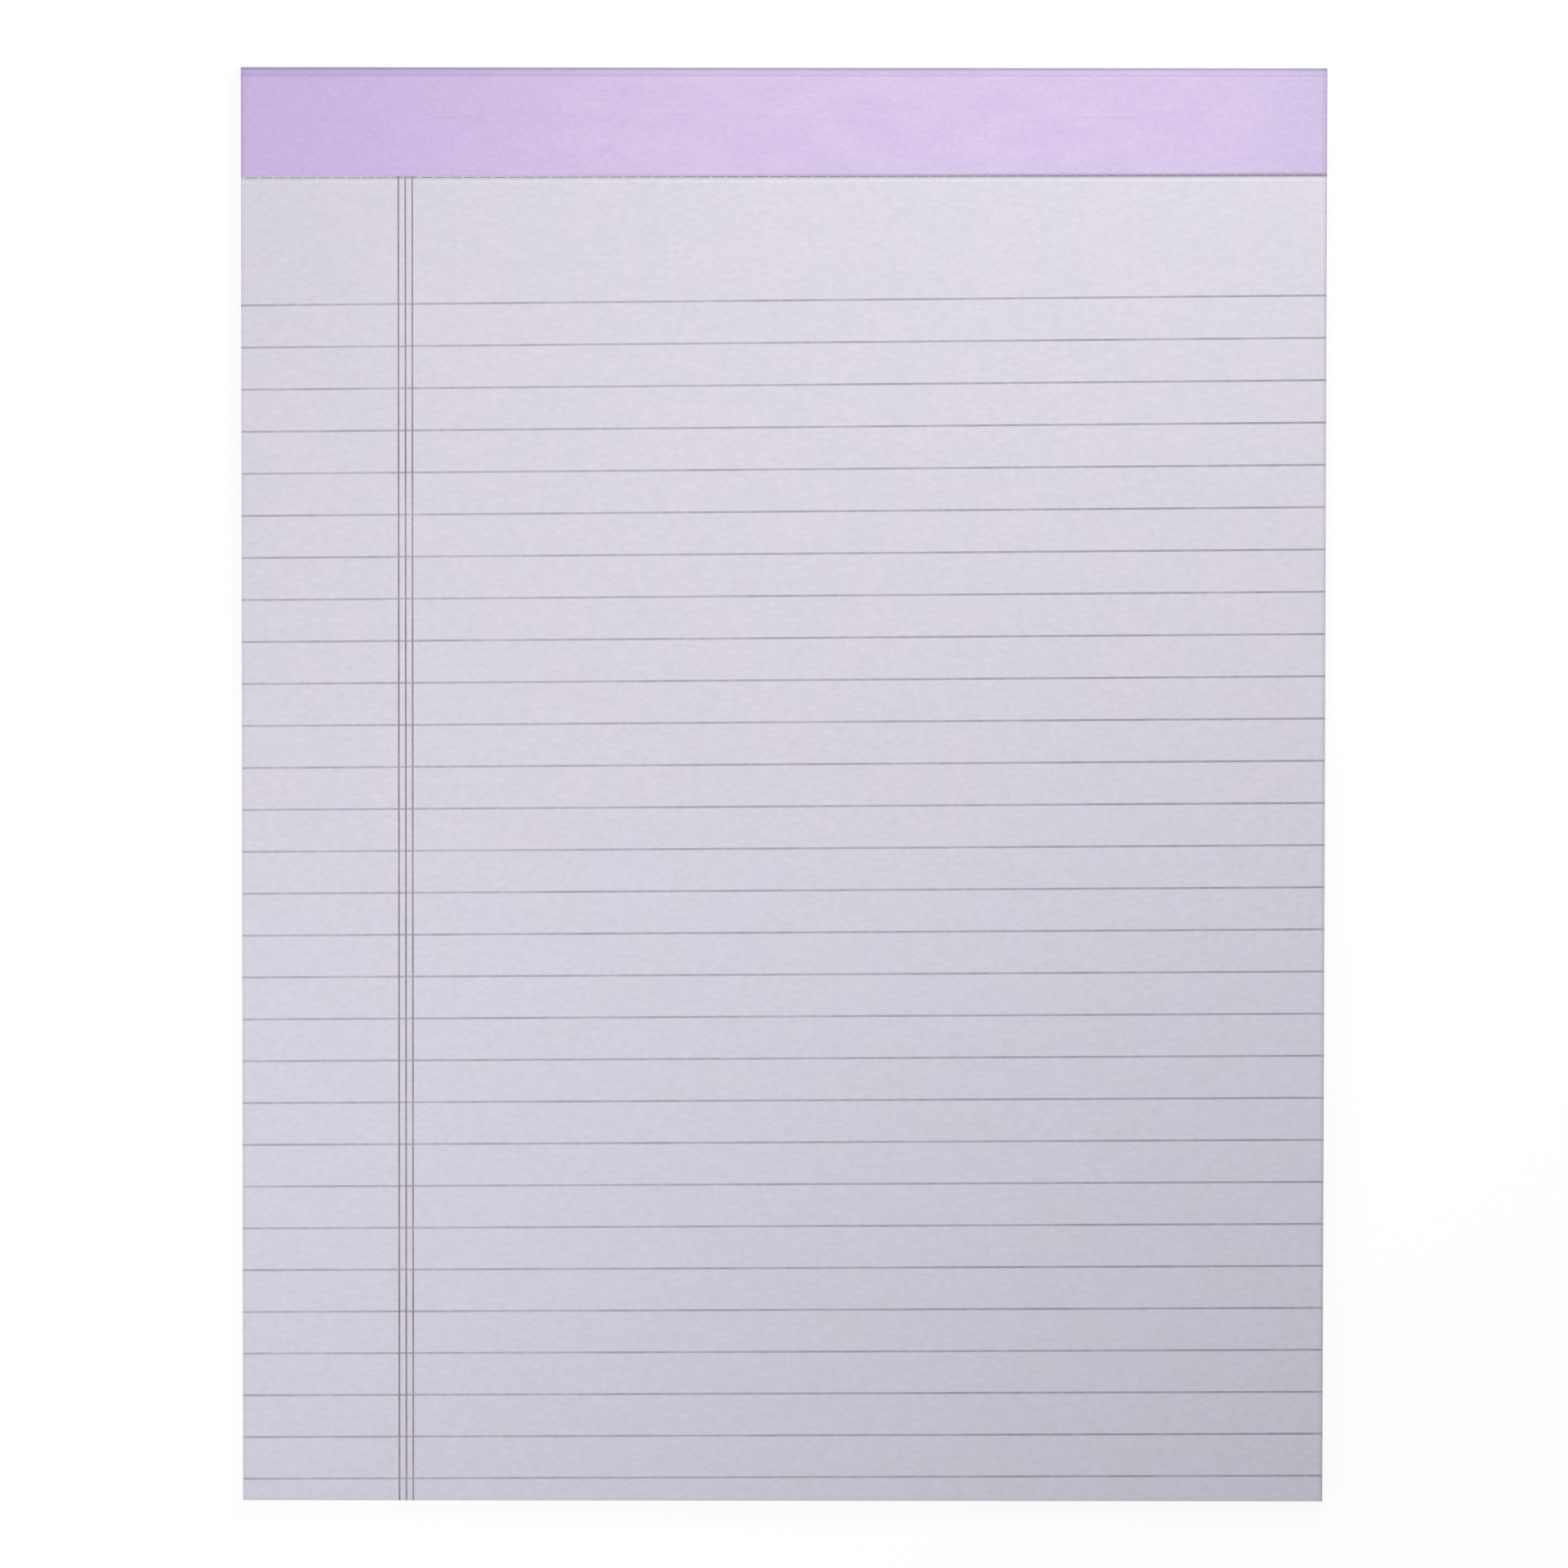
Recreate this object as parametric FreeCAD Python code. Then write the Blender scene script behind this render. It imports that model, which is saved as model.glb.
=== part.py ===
import FreeCAD, Part
import math
import os

# A letter-size legal pad, lying on its backing board as it would on a desk.
# Fifty ruled sheets lie on a chipboard back. Wire staples hold both together near the
# head, and a strip of binding paper is folded over the head and hides the staples.
# Each sheet tears off at a row of slits just below the front edge of that strip.
# Millimetres. +X is the reader's right, +Y runs from the foot to the bound head, and
# +Z is up. The origin is the middle of the footprint, on the surface the pad lies on.

Vector = FreeCAD.Vector

# Pad
PAD_WIDTH = 215.9
PAD_LENGTH = 298.45

# Sheets
SHEET_COUNT = 50
SHEET_THICKNESS = 0.095
HEAD_PRESS = 0.3  # how much thinner the stack is where the staples hold it
STAPLE_LAND = 2.0  # flat part of the pressed head, on the foot side of the staples

# Backing board
BOARD_THICKNESS = 1.0

# Binding strip
TAPE_THICKNESS = 0.18
TAPE_FRONT_FLAP = 20.4  # from the head face to the front edge, at the middle of the pad
TAPE_BACK_FLAP = 19.0
TAPE_SKEW = 0.22  # degrees; the front edge is that far out of square, lower at the left
TAPE_BITE = 0.05  # how far the back flap is pressed into the board
TAPE_LEVEL_EDGE = 1.05  # least width along the front edge that stays level
FOLD_RADIUS = 0.4  # inside radius of both folds

# Row of slits along which a sheet tears off
SLITS_BELOW_TAPE = 0.4  # from the front edge to the middle of the slits
SLIT_LENGTH = 2.3
SLIT_TIE = 0.6  # paper left between two slits
SLIT_WIDTH = 0.14

# Staples
STAPLE_COUNT = 3
STAPLE_SPACING = 64.0
STAPLE_CROWN = 12.7  # between the two leg centres
STAPLE_CLINCH = 4.6  # how far each leg is folded in on the back
STAPLE_FROM_HEAD = 8.0
WIRE_DIAMETER = 0.5
WIRE_CLEARANCE = 0.05  # between the wire and the paper or board round it
WIRE_SINK = 0.05  # how far the wire lies below the paper or board surface

# Printed ruling
RULE_PITCH = 8.81
RULE_WIDTH = 0.42
FIRST_RULE_FROM_HEAD = 46.6
LEAST_FOOT_SPACE = 4.0  # no rule lies nearer the foot than this
RULE_SKEW_HEAD = 0.63  # degrees out of square at the first rule, lower at the left
RULE_SKEW_FOOT = 0.25  # and at the last rule
MARGIN_FROM_LEFT = 31.3  # to the first margin line
MARGIN_LINE_PITCH = 1.38
MARGIN_LINE_COUNT = 3
MARGIN_LINE_WIDTH = 0.34
INK_THICKNESS = 0.02

# Places that follow from the sizes above
LEFT = -PAD_WIDTH / 2
FOOT = -PAD_LENGTH / 2
HEAD_FACE = PAD_LENGTH / 2 - TAPE_THICKNESS  # where sheets and board end at the head
FLAP_LEVEL = TAPE_THICKNESS  # upper face of the back flap
BOARD_BACK = FLAP_LEVEL - TAPE_BITE
BOARD_TOP = BOARD_BACK + BOARD_THICKNESS
STACK_TOP = BOARD_TOP + SHEET_COUNT * SHEET_THICKNESS
STAPLED_TOP = STACK_TOP - HEAD_PRESS
STAPLE_Y = HEAD_FACE - STAPLE_FROM_HEAD
TAPE_EDGE_Y = HEAD_FACE - TAPE_FRONT_FLAP
TAPE_EDGE_RISE = PAD_WIDTH / 2 * math.tan(math.radians(TAPE_SKEW))
DIP_START_Y = TAPE_EDGE_Y + TAPE_EDGE_RISE + TAPE_LEVEL_EDGE
DIP_END_Y = STAPLE_Y - STAPLE_LAND
WIRE_RADIUS = WIRE_DIAMETER / 2
HOLE_RADIUS = WIRE_RADIUS + WIRE_CLEARANCE
BEND_RADIUS = HOLE_RADIUS + WIRE_CLEARANCE  # of the wire's centreline, clear of the hole's edge
POCKET_DEPTH = WIRE_SINK + WIRE_DIAMETER + WIRE_CLEARANCE
BEYOND = 2.0  # how far a cutting shape runs past what it cuts


def slab(x0, x1, y0, y1, z0, z1):
    """A box between two corners."""
    return Part.makeBox(x1 - x0, y1 - y0, z1 - z0, Vector(x0, y0, z0))


def line(start, end):
    """A straight edge."""
    return Part.LineSegment(start, end).toShape()


def centred_row(count, pitch):
    """X places of a row of equal steps about the middle of the pad."""
    return [(step - (count - 1) / 2) * pitch for step in range(count)]


def beside(y, z, heading, distance):
    """The point that far to the left of (y, z), for a path with that heading."""
    angle = math.radians(heading)
    return Vector(LEFT, y - distance * math.sin(angle), z + distance * math.cos(angle))


def trace(y, z, moves, side=0.0):
    """Edges of a path in the plane across the pad's width, with its two end points.

    The path starts at (y, z) towards +Y. A move is a straight length, or a bend given
    as (radius, degrees), where a left turn is positive. The edges lie that far to the
    left of the path, given by side.
    """
    heading = 0.0
    first = beside(y, z, heading, side)
    last = first
    edges = []
    for move in moves:
        if isinstance(move, tuple):
            radius, turn = move
            reach = math.copysign(radius, turn)
            centre = beside(y, z, heading, reach)
            halfway = beside(centre.y, centre.z, heading + turn / 2, side - reach)
            heading += turn
            following = beside(centre.y, centre.z, heading, side - reach)
            edges.append(Part.Arc(last, halfway, following).toShape())
            on_path = beside(centre.y, centre.z, heading, -reach)
            y, z = on_path.y, on_path.z
        else:
            y += move * math.cos(math.radians(heading))
            z += move * math.sin(math.radians(heading))
            following = beside(y, z, heading, side)
            edges.append(line(last, following))
        last = following
    return edges, first, last


def across_the_pad(edges):
    """The solid that a closed outline gives when it runs the pad's full width."""
    outline = Part.Wire(Part.sortEdges(edges)[0])
    return Part.Face(outline).extrude(Vector(PAD_WIDTH, 0, 0))


def top_moves(start_y):
    """The top sheet's line from start_y, down to its stapled level and round the fold."""
    run = DIP_END_Y - DIP_START_Y
    turn = 2 * math.degrees(math.atan(HEAD_PRESS / run))
    radius = run / (2 * math.sin(math.radians(turn)))
    after = HEAD_FACE - FOLD_RADIUS - DIP_END_Y
    return [DIP_START_Y - start_y, (radius, -turn), (radius, turn), after, (FOLD_RADIUS, -90)]


def along(shape, y, skew):
    """A shape drawn about the X axis, turned out of square and moved to that height."""
    shape.rotate(Vector(0, 0, 0), Vector(0, 0, 1), skew)
    shape.translate(Vector(0, y, 0))
    return shape


def below_tape_edge():
    """Everything on the foot side of the binding strip's front edge."""
    reach = PAD_LENGTH + PAD_WIDTH
    return along(slab(-reach, reach, -reach, 0, -reach, reach), TAPE_EDGE_Y, TAPE_SKEW)


def slits():
    """The row of slits, through every sheet and down to the board."""
    pitch = SLIT_LENGTH + SLIT_TIE
    half_length = SLIT_LENGTH / 2
    half_width = SLIT_WIDTH / 2
    z0 = BOARD_TOP - BEYOND
    z1 = STACK_TOP + BEYOND
    row = centred_row(int(PAD_WIDTH / pitch), pitch)
    cuts = [slab(x - half_length, x + half_length, -half_width, half_width, z0, z1) for x in row]
    return [along(cut, TAPE_EDGE_Y - SLITS_BELOW_TAPE, TAPE_SKEW) for cut in cuts]


def staple_places():
    """X places of the staples, in a row about the middle of the pad."""
    return centred_row(STAPLE_COUNT, STAPLE_SPACING)


def pocket(x0, x1, z0, z1):
    """A round-ended slot along the staple row, for a length of wire."""
    middle = slab(x0, x1, STAPLE_Y - HOLE_RADIUS, STAPLE_Y + HOLE_RADIUS, z0, z1)
    ends = [Part.makeCylinder(HOLE_RADIUS, z1 - z0, Vector(x, STAPLE_Y, z0)) for x in (x0, x1)]
    return middle.multiFuse(ends).removeSplitter()


def staple_space(x):
    """What one staple takes out of the sheets and the board: crown, legs and clinches."""
    left = x - STAPLE_CROWN / 2
    right = x + STAPLE_CROWN / 2
    crown = pocket(left, right, STAPLED_TOP - POCKET_DEPTH, STAPLED_TOP + BEYOND)
    height = STAPLED_TOP - FLAP_LEVEL
    legs = [
        Part.makeCylinder(HOLE_RADIUS, height, Vector(leg, STAPLE_Y, FLAP_LEVEL))
        for leg in (left, right)
    ]
    clinches = [
        pocket(start, start + STAPLE_CLINCH, FLAP_LEVEL - BEYOND, FLAP_LEVEL + POCKET_DEPTH)
        for start in (left, right - STAPLE_CLINCH)
    ]
    return crown.multiFuse(legs + clinches)


def sheet_stack():
    """The fifty sheets, as one block, with its dip, slits and staple holes."""
    top, foot_top, fold_start = trace(FOOT, STACK_TOP, top_moves(FOOT))
    head_bottom = Vector(LEFT, HEAD_FACE, BOARD_TOP)
    foot_bottom = Vector(LEFT, FOOT, BOARD_TOP)
    sides = [line(fold_start, head_bottom), line(head_bottom, foot_bottom), line(foot_bottom, foot_top)]
    block = across_the_pad(top + sides)
    return block.cut(slits() + [staple_space(x) for x in staple_places()])


def backing_board():
    """The chipboard back, pressed in a little where the back flap lies on it."""
    flap_end_y = HEAD_FACE - TAPE_BACK_FLAP
    moves = [TAPE_BACK_FLAP - FOLD_RADIUS, (FOLD_RADIUS, 90)]
    underside, flap_end, fold_end = trace(flap_end_y, FLAP_LEVEL, moves)
    corners = [
        fold_end,
        Vector(LEFT, HEAD_FACE, BOARD_TOP),
        Vector(LEFT, FOOT, BOARD_TOP),
        Vector(LEFT, FOOT, BOARD_BACK),
        Vector(LEFT, flap_end_y, BOARD_BACK),
        flap_end,
    ]
    sides = [line(start, end) for start, end in zip(corners, corners[1:])]
    board = across_the_pad(underside + sides)
    return board.cut([staple_space(x) for x in staple_places()])


def binding_strip():
    """The strip folded over the head, from its front flap to its back flap."""
    start_y = TAPE_EDGE_Y - TAPE_EDGE_RISE - BEYOND
    spine = STAPLED_TOP - FLAP_LEVEL - 2 * FOLD_RADIUS
    moves = top_moves(start_y) + [spine, (FOLD_RADIUS, -90), TAPE_BACK_FLAP - FOLD_RADIUS]
    inner, inner_first, inner_last = trace(start_y, STACK_TOP, moves)
    outer, outer_first, outer_last = trace(start_y, STACK_TOP, moves, TAPE_THICKNESS)
    ends = [line(inner_last, outer_last), line(outer_first, inner_first)]
    strip = across_the_pad(inner + outer + ends)
    above_sheets = slab(LEFT, -LEFT, FOOT, HEAD_FACE, STAPLED_TOP, STACK_TOP + BEYOND)
    return strip.cut(below_tape_edge().common(above_sheets))


def staple(x):
    """One wire staple: crown in front, two legs, and clinches folded in on the back."""
    crown_z = STAPLED_TOP - WIRE_SINK - WIRE_RADIUS
    clinch_z = FLAP_LEVEL + WIRE_SINK + WIRE_RADIUS
    diagonal = BEND_RADIUS * (1 - math.sqrt(0.5))

    def half_path(side):
        leg_x = x + side * STAPLE_CROWN / 2

        def at(inwards, z):
            return Vector(leg_x - side * inwards, STAPLE_Y, z)

        return [
            Part.LineSegment(at(STAPLE_CLINCH, clinch_z), at(BEND_RADIUS, clinch_z)),
            Part.Arc(
                at(BEND_RADIUS, clinch_z),
                at(diagonal, clinch_z + diagonal),
                at(0, clinch_z + BEND_RADIUS),
            ),
            Part.LineSegment(at(0, clinch_z + BEND_RADIUS), at(0, crown_z - BEND_RADIUS)),
            Part.Arc(
                at(0, crown_z - BEND_RADIUS),
                at(diagonal, crown_z - diagonal),
                at(BEND_RADIUS, crown_z),
            ),
            Part.LineSegment(at(BEND_RADIUS, crown_z), Vector(x, STAPLE_Y, crown_z)),
        ]

    curves = half_path(-1) + half_path(1)
    path = Part.Wire(Part.sortEdges([curve.toShape() for curve in curves])[0])
    start = path.OrderedVertexes[0].Point
    section = Part.Wire(Part.makeCircle(WIRE_RADIUS, start, Vector(1, 0, 0)))
    return path.makePipeShell([section], True, True)


def staples():
    """All the staples, each a separate solid."""
    return Part.makeCompound([staple(x) for x in staple_places()])


def margin_bars():
    """The margin lines, from the foot to under the binding strip."""
    half = MARGIN_LINE_WIDTH / 2
    first = LEFT + MARGIN_FROM_LEFT
    places = [first + n * MARGIN_LINE_PITCH for n in range(MARGIN_LINE_COUNT)]
    top = STACK_TOP + INK_THICKNESS
    return [slab(x - half, x + half, FOOT, DIP_START_Y, STACK_TOP, top) for x in places]


def margin_lines():
    """The printed margin lines, which end where the binding strip covers them."""
    return Part.makeCompound([bar.common(below_tape_edge()) for bar in margin_bars()])


def rule_bar(place, skew):
    """One writing line, longer than the sheet is wide."""
    half = RULE_WIDTH / 2
    bar = slab(-PAD_WIDTH, PAD_WIDTH, -half, half, STACK_TOP, STACK_TOP + INK_THICKNESS)
    return along(bar, place, skew)


def rule_lines():
    """The printed writing lines, from side to side and broken at the margin lines."""
    first = HEAD_FACE - FIRST_RULE_FROM_HEAD
    steps = int((first - FOOT - LEAST_FOOT_SPACE) / RULE_PITCH)
    sheet = slab(LEFT, -LEFT, FOOT, HEAD_FACE, STACK_TOP, STACK_TOP + INK_THICKNESS)
    rules = []
    for n in range(steps + 1):
        skew = RULE_SKEW_HEAD + (RULE_SKEW_FOOT - RULE_SKEW_HEAD) * n / steps
        bar = rule_bar(first - n * RULE_PITCH, skew)
        rules.append(bar.common(sheet).cut(margin_bars()))
    return Part.makeCompound(rules)


def main():
    """Writes one file for each piece of the pad."""
    os.makedirs("parts", exist_ok=True)
    pieces = {
        "sheet_stack": sheet_stack(),
        "backing_board": backing_board(),
        "binding_strip": binding_strip(),
        "staples": staples(),
        "margin_lines": margin_lines(),
        "rule_lines": rule_lines(),
    }
    for name, shape in pieces.items():
        shape.exportStep(f"parts/{name}.step")
        print(name, len(shape.Solids), "solids", round(shape.Volume, 3), "mm3", shape.isValid())


main()
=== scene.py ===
"""Looks of a letter-size legal pad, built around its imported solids.

Fifty ruled sheets of lilac-grey paper lie on a chipboard back. Wire staples hold them
near the head, and a lilac binding strip is folded over the head and hides the staples.
A row of slits under the strip lets each sheet tear off. Lengths are in metres. +X is the
reader's right, +Y runs from the foot to the bound head, and +Z is up.
"""

import logging
import math
from collections.abc import Iterable, Sequence
from dataclasses import dataclass
from enum import Enum
from functools import cache, cached_property

import bmesh
import bpy
from bpy.types import ID, Material, Node, NodeSocket, NodeTree, Object
from mathutils import Matrix, Vector


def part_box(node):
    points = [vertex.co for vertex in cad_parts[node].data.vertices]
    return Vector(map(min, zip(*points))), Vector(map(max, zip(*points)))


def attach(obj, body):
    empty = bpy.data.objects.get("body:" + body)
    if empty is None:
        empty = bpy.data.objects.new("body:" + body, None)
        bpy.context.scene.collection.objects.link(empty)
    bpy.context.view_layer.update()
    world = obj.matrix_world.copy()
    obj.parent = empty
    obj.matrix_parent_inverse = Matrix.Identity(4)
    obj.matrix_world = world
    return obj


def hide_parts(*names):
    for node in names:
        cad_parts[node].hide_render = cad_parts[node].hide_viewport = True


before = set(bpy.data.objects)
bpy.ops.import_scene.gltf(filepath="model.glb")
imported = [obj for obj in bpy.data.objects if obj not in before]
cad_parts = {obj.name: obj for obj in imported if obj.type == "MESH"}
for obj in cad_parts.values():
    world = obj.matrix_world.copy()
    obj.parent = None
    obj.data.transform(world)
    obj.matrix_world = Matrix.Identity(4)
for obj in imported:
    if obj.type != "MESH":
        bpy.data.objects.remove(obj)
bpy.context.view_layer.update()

log = logging.getLogger("legal_pad")

MM = 0.001
TOUCH = 0.02 * MM  # places nearer than this count as the same
BODY = "root"
SLIT_DROP = 0.4 * MM  # from the binding strip's front edge to the row of slits

Colour = tuple[float, float, float]
Triple = tuple[float, float, float]
Span = tuple[float, float]
Feed = NodeSocket | float | int | str | Sequence[float] | Material
Feeds = dict[str | int, Feed]
WHITE: Colour = (1.0, 1.0, 1.0)


def even(start: float, end: float, steps: int) -> list[float]:
    """Evenly spaced values from the start, without the end itself."""
    return [start + (end - start) * n / steps for n in range(steps)]


def linked(name: str, data: ID) -> Object:
    """A new object in the scene.

    Args:
        name: Its name.
        data: Its mesh, lamp or camera.

    Returns:
        The object.
    """
    made = bpy.data.objects.new(name, data)
    bpy.context.scene.collection.objects.link(made)
    return made


@cache
def corners(node: str) -> tuple[Vector, Vector]:
    """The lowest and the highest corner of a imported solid, read once."""
    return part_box(node)


class Solid(Enum):
    """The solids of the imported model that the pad's pieces dress or stand for."""

    SHEETS = "sheet_stack"
    BOARD = "backing_board"
    STRIP = "binding_strip"
    STAPLES = "staples"
    RULES = "rule_lines"
    MARGIN = "margin_lines"

    @property
    def packed(self) -> Object:
        """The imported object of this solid."""
        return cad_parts[self.value]

    @property
    def low(self) -> Vector:
        """The solid's lowest corner."""
        return corners(self.value)[0]

    @property
    def high(self) -> Vector:
        """The solid's highest corner."""
        return corners(self.value)[1]


class Slot(Enum):
    """The record's material slots."""

    PAPER = "writing_paper"
    STRIP = "binding_paper"


class Side(Enum):
    """A long side of the pad."""

    LEFT = "left"
    RIGHT = "right"

    @property
    def x(self) -> float:
        """Where this side of the sheets lies along X."""
        return Solid.SHEETS.low.x if self is Side.LEFT else Solid.SHEETS.high.x


def places_along(solid: Solid, side: Side) -> list[float]:
    """Where a solid meets one long side of the pad.

    Args:
        solid: The solid to look at.
        side: The long side of the pad.

    Returns:
        The Y of each of its corners on that side, from the foot to the head.
    """
    vertices = solid.packed.data.vertices
    return sorted(vertex.co.y for vertex in vertices if abs(vertex.co.x - side.x) < TOUCH)


@dataclass(frozen=True)
class Row:
    """A straight row across the pad, slightly out of square."""

    middle: float  # Y at the middle of the pad
    rise: float  # how much Y grows for each metre towards the right

    def at(self, x: float) -> float:
        """The row's Y at that X."""
        return self.middle + x * self.rise

    def below(self, distance: float) -> "Row":
        """A parallel row, that much nearer to the foot."""
        return Row(self.middle - distance, self.rise)

    @property
    def turn(self) -> float:
        """The row's angle out of square, in radians."""
        return math.atan(self.rise)

    def off(self, graph: "ShadeGraph") -> NodeSocket:
        """How far a shaded point lies from the row, towards the head."""
        row_y = graph.math("MULTIPLY_ADD", graph.x, self.rise, self.middle)
        return graph.math("SUBTRACT", graph.y, row_y)


def strip_edge() -> Row:
    """The front edge of the binding strip, read from its solid."""
    left, right = (places_along(Solid.STRIP, side)[0] for side in Side)
    return Row((left + right) / 2, (right - left) / (Side.RIGHT.x - Side.LEFT.x))


@dataclass(frozen=True)
class EdgeMarks:
    """The evenly spaced ends of the printed rules on one long side of the pad."""

    first: float
    pitch: float
    count: int

    @classmethod
    def read(cls, side: Side) -> "EdgeMarks":
        """The marks on one side, from the places where the printed rules reach it.

        Args:
            side: The long side of the pad.

        Returns:
            The marks.
        """
        ends = places_along(Solid.RULES, side)
        steps = [b - a for a, b in zip(ends, ends[1:])]
        widest = max(steps)
        count = 1 + sum(step > widest / 2 for step in steps)
        half = min(step for step in steps if step > TOUCH) / 2
        first, last = ends[0] + half, ends[-1] - half
        return cls(first, (last - first) / (count - 1), count)


@dataclass(frozen=True)
class HeadShape:
    """How the stack dips to its row of staples and ends at the folded head."""

    level_edge: float = 1.05 * MM  # stays level behind the strip's front edge
    staple_count: int = 3
    staple_spacing: float = 64.0 * MM
    staple_crown: float = 12.7 * MM
    staples_from_head: float = 8.0 * MM
    staple_land: float = 2.0 * MM  # level ground on the foot side of the staples
    press: float = 0.3 * MM
    fold_radius: float = 0.4 * MM  # inside the strip

    @cached_property
    def face(self) -> float:
        """Where the sheets and the board end at the head."""
        return Solid.SHEETS.high.y

    @cached_property
    def staple_row(self) -> float:
        """Y of the row of staples."""
        return self.face - self.staples_from_head

    @cached_property
    def staple_middles(self) -> list[float]:
        """X of the middle of each staple."""
        first = -(self.staple_count - 1) / 2
        return [(first + n) * self.staple_spacing for n in range(self.staple_count)]

    @cached_property
    def dip_start(self) -> float:
        """Where the top begins to go down."""
        edge = strip_edge()
        return max(edge.at(side.x) for side in Side) + self.level_edge

    @cached_property
    def dip_end(self) -> float:
        """Where the top has reached its stapled level."""
        return self.staple_row - self.staple_land

    def sink(self, y: float) -> float:
        """How far the top of the stack has gone down at that Y.

        Args:
            y: Place along the pad.

        Returns:
            The drop, from nought to the full press.
        """
        share = min(max((y - self.dip_start) / (self.dip_end - self.dip_start), 0.0), 1.0)
        eased = 2 * share ** 2 if share < 0.5 else 1 - 2 * (1 - share) ** 2
        return self.press * eased

    def end_at(self, z: float) -> float:
        """How far a sheet at that height may reach into the fold at the head.

        Args:
            z: The sheet's height.

        Returns:
            The Y where it ends.
        """
        above = z - (Solid.SHEETS.high.z - self.press - self.fold_radius)
        if above <= 0:
            return self.face
        flat = math.sqrt(max(self.fold_radius ** 2 - above ** 2, 0.0))
        return self.face - self.fold_radius + flat


class Graph:
    """A node tree that is being wired up."""

    def __init__(self, tree: NodeTree) -> None:
        """Starts on an empty tree."""
        self.tree = tree
        self.tree.nodes.clear()

    def node(self, kind: str, feeds: Feeds | None = None, **settings: object) -> Node:
        """Adds a node.

        Args:
            kind: The node's type.
            feeds: What each of its inputs gets, by name or by place.
            **settings: The node's own settings.

        Returns:
            The new node.
        """
        made = self.tree.nodes.new(kind)
        for name, value in settings.items():
            setattr(made, name, value)
        for key, value in (feeds or {}).items():
            self.feed(made.inputs[key], value)
        return made

    def out(self, kind: str, feeds: Feeds | None = None, **settings: object) -> NodeSocket:
        """Adds a node in the same way, and gives its first output."""
        return self.node(kind, feeds, **settings).outputs[0]

    def math(self, operation: str, *values: Feed) -> NodeSocket:
        """One step of arithmetic."""
        return self.out("ShaderNodeMath", dict(enumerate(values)), operation=operation)

    def feed(self, socket: NodeSocket, value: Feed) -> None:
        """Links an input to another node's output, or sets it to a value.

        Args:
            socket: The input.
            value: The output or the value.
        """
        if isinstance(value, NodeSocket):
            self.tree.links.new(value, socket)
        else:
            socket.default_value = value


@dataclass(frozen=True)
class Sheen:
    """How a surface takes the light."""

    roughness: float
    reach: float  # how much rougher or smoother it is in places
    specular: float = 0.5
    metallic: float = 0.0


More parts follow.
